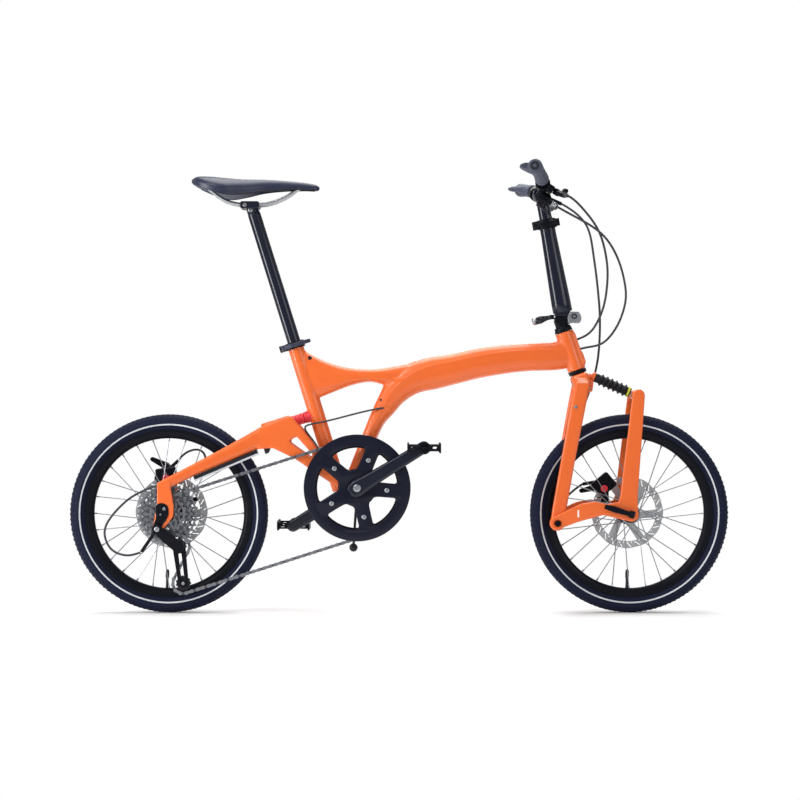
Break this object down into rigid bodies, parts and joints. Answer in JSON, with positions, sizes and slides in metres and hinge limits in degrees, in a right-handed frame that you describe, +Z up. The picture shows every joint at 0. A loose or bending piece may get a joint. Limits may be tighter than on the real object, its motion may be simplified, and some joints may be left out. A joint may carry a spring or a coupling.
{
  "type": "folding bicycle",
  "caption": "Folding bicycle with small wheels, swept beam frame, sprung front link and rear arm, disc brakes and a chain drive; both wheels swing in under the frame.",
  "frame": {"origin": "on the ground, midway between the two wheels and in the plane of the wheels", "axes": "+X forward, +Y to the rider's left, +Z up"},
  "size_m": [1.446, 0.569, 0.9692],
  "materials": {
    "orange_paint": "gloss orange powder coat on aluminium",
    "black_alloy": "black anodised and painted aluminium",
    "black_plastic": "moulded black polymer",
    "bright_steel": "bright steel",
    "tyre_rubber": "black tyre rubber",
    "grip_rubber": "dark grey grip rubber",
    "black_rubber": "black rubber and cable housing",
    "red_elastomer": "red polyurethane elastomer",
    "saddle_cover": "dark synthetic leather over foam"
  },
  "bodies": {
    "frame": {"main_frame": "orange_paint", "headset_upper": "black_alloy", "headset_lower": "black_alloy", "seat_collar": "black_alloy", "bottom_bracket": "bright_steel", "rest_leg": "bright_steel", "window_cable": "black_rubber"},
    "seat": {"seat_post": "black_alloy", "saddle_rails": "bright_steel", "saddle": "saddle_cover"},
    "seat_lever": {"seat_clamp_lever": "black_plastic"},
    "rear_spring": {"rear_elastomer": "red_elastomer"},
    "rear_arm": {"rear_swingarm": "orange_paint", "derailleur": "black_alloy", "chain": "bright_steel", "rear_caliper": "black_alloy", "rear_shift_cable": "black_rubber", "rear_brake_hose": "black_rubber"},
    "rear_brake": {"rear_caliper_arm": "black_alloy"},
    "rear_release": {"rear_qr_lever": "black_alloy"},
    "rear_wheel": {"rear_tyre": "tyre_rubber", "rear_rim": "black_alloy", "rear_hub": "black_alloy", "rear_rotor": "bright_steel"},
    "sprockets": {"cassette": "bright_steel"},
    "guide_wheel": {"upper_pulley": "black_plastic"},
    "tension_wheel": {"lower_pulley": "black_plastic"},
    "cranks": {"chainring": "bright_steel", "chain_guard": "black_plastic", "right_crank": "black_alloy", "left_crank": "black_alloy"},
    "pedal_right": {"right_pedal": "black_plastic"},
    "pedal_left": {"left_pedal": "black_plastic"},
    "steering": {"fork": "orange_paint", "steerer": "black_alloy"},
    "front_spring": {"front_bellows": "black_rubber"},
    "front_arm": {"front_swingarm": "orange_paint", "front_caliper": "black_alloy"},
    "front_brake": {"front_caliper_arm": "black_alloy"},
    "front_release": {"front_qr_lever": "black_alloy"},
    "front_wheel": {"front_tyre": "tyre_rubber", "front_rim": "black_alloy", "front_hub": "black_alloy", "front_rotor": "bright_steel"},
    "post": {"handlepost": "black_alloy", "post_collar": "black_alloy", "shift_cable": "black_rubber", "rear_brake_cable": "black_rubber", "front_brake_cable": "black_rubber"},
    "post_latch": {"post_latch_lever": "black_alloy"},
    "post_lever": {"collar_lever": "black_alloy"},
    "cockpit": {"stem_riser": "black_alloy", "handlebar": "black_alloy", "right_grip": "grip_rubber", "left_grip": "grip_rubber", "right_control": "black_alloy", "left_control": "black_alloy"},
    "brake_lever_right": {"right_brake_lever": "black_alloy"},
    "brake_lever_left": {"left_brake_lever": "black_alloy"},
    "shifter": {"shift_lever": "black_plastic"}
  },
  "joints": [
    {"name": "seat_post_slide", "type": "slide", "parent": "frame", "child": "seat", "axis": [-0.2974, 0, 0.9548], "range_m": [-0.19, 0.02]},
    {"name": "seat_lever_hinge", "type": "hinge", "parent": "frame", "child": "seat_lever", "pos_m": [-0.2534, -0.0162, 0.57917], "axis": [0.2974, 0, -0.9548], "range_deg": [0, 110]},
    {"name": "rear_fold", "type": "hinge", "parent": "frame", "child": "rear_spring", "pos_m": [-0.0913, 0, 0.275], "axis": [0, 1, 0], "range_deg": [-115, 0], "deforming": ["window_cable"]},
    {"name": "rear_suspension", "type": "hinge", "parent": "rear_spring", "child": "rear_arm", "pos_m": [-0.0913, 0, 0.275], "axis": [0, 1, 0], "range_deg": [0, 4], "stiffness_Nm_per_rad": 400, "deforming": ["rear_elastomer"]},
    {"name": "rear_caliper_pull", "type": "hinge", "parent": "rear_arm", "child": "rear_brake", "pos_m": [-0.5175, 0.0705, 0.3185], "axis": [0, 1, 0], "range_deg": [0, 20]},
    {"name": "rear_release_hinge", "type": "hinge", "parent": "rear_arm", "child": "rear_release", "pos_m": [-0.5055, 0.0848, 0.2175], "axis": [-0.4695, 0, 0.8829], "range_deg": [0, 120]},
    {"name": "rear_wheel_spin", "type": "hinge", "parent": "rear_arm", "child": "rear_wheel", "pos_m": [-0.5055, 0, 0.2175], "axis": [0, 1, 0], "continuous": true},
    {"name": "cassette_spin", "type": "hinge", "parent": "rear_arm", "child": "sprockets", "pos_m": [-0.5055, 0, 0.2175], "axis": [0, 1, 0], "continuous": true},
    {"name": "guide_pulley_spin", "type": "hinge", "parent": "rear_arm", "child": "guide_wheel", "pos_m": [-0.4796, 0, 0.147], "axis": [0, 1, 0], "continuous": true},
    {"name": "tension_pulley_spin", "type": "hinge", "parent": "rear_arm", "child": "tension_wheel", "pos_m": [-0.47, 0, 0.0675], "axis": [0, 1, 0], "continuous": true},
    {"name": "crank_spin", "type": "hinge", "parent": "frame", "child": "cranks", "pos_m": [-0.0913, 0, 0.275], "axis": [0, 1, 0], "continuous": true},
    {"name": "right_pedal_spin", "type": "hinge", "parent": "cranks", "child": "pedal_right", "pos_m": [0.05365, 0, 0.36383], "axis": [0, 1, 0], "continuous": true},
    {"name": "left_pedal_spin", "type": "hinge", "parent": "cranks", "child": "pedal_left", "pos_m": [-0.23625, 0, 0.18618], "axis": [0, 1, 0], "continuous": true},
    {"name": "steering_turn", "type": "hinge", "parent": "frame", "child": "steering", "pos_m": [0.391, 0, 0.532], "axis": [-0.319, 0, 0.9478], "range_deg": [-35, 35]},
    {"name": "front_fold", "type": "hinge", "parent": "steering", "child": "front_spring", "pos_m": [0.345, 0, 0.198], "axis": [0, 1, 0], "range_deg": [0, 150]},
    {"name": "front_suspension", "type": "hinge", "parent": "front_spring", "child": "front_arm", "pos_m": [0.345, 0, 0.198], "axis": [0, 1, 0], "range_deg": [-5, 0], "stiffness_Nm_per_rad": 120, "deforming": ["front_bellows"]},
    {"name": "front_caliper_pull", "type": "hinge", "parent": "front_arm", "child": "front_brake", "pos_m": [0.4555, 0.0585, 0.2765], "axis": [0, 1, 0], "range_deg": [0, 20]},
    {"name": "front_release_hinge", "type": "hinge", "parent": "front_arm", "child": "front_release", "pos_m": [0.5055, -0.0693, 0.2175], "axis": [0.2924, 0, 0.9563], "range_deg": [0, 120]},
    {"name": "front_wheel_spin", "type": "hinge", "parent": "front_arm", "child": "front_wheel", "pos_m": [0.5055, 0, 0.2175], "axis": [0, 1, 0], "continuous": true},
    {"name": "handlepost_fold", "type": "hinge", "parent": "steering", "child": "post", "pos_m": [0.38377, 0, 0.64988], "axis": [0, 1, 0], "range_deg": [0, 120], "deforming": ["shift_cable", "rear_brake_cable", "front_brake_cable"]},
    {"name": "post_latch_hinge", "type": "hinge", "parent": "post", "child": "post_latch", "pos_m": [0.33527, 0, 0.64888], "axis": [0, 0, 1], "range_deg": [0, 70]},
    {"name": "collar_lever_hinge", "type": "hinge", "parent": "post", "child": "post_lever", "pos_m": [0.29907, -0.016, 0.84897], "axis": [0.1788, 0, -0.9839], "range_deg": [0, 100]},
    {"name": "riser_slide", "type": "slide", "parent": "post", "child": "cockpit", "axis": [-0.1788, 0, 0.9839], "range_m": [-0.012, 0.05]},
    {"name": "right_brake_pull", "type": "hinge", "parent": "cockpit", "child": "brake_lever_right", "pos_m": [0.33812, -0.118, 0.91251], "axis": [-0.515, 0, -0.8572], "range_deg": [0, 14], "stiffness_Nm_per_rad": 2, "springref_deg": -5.73},
    {"name": "left_brake_pull", "type": "hinge", "parent": "cockpit", "child": "brake_lever_left", "pos_m": [0.33812, 0.118, 0.91251], "axis": [0.515, 0, 0.8572], "range_deg": [0, 14], "stiffness_Nm_per_rad": 2, "springref_deg": -5.73},
    {"name": "shift_push", "type": "hinge", "parent": "cockpit", "child": "shifter", "pos_m": [0.30196, -0.097, 0.88682], "axis": [0.515, 0, 0.8572], "range_deg": [0, 25], "stiffness_Nm_per_rad": 0.4, "springref_deg": -5.73}
  ],
  "couplings": [
    {"joint": "cassette_spin", "follows": "crank_spin", "ratio": 3.0588},
    {"joint": "guide_pulley_spin", "follows": "crank_spin", "ratio": -4.7273},
    {"joint": "tension_pulley_spin", "follows": "crank_spin", "ratio": 4.7273},
    {"joint": "rear_caliper_pull", "follows": "right_brake_pull", "ratio": 1.4},
    {"joint": "front_caliper_pull", "follows": "left_brake_pull", "ratio": 1.4}
  ]
}
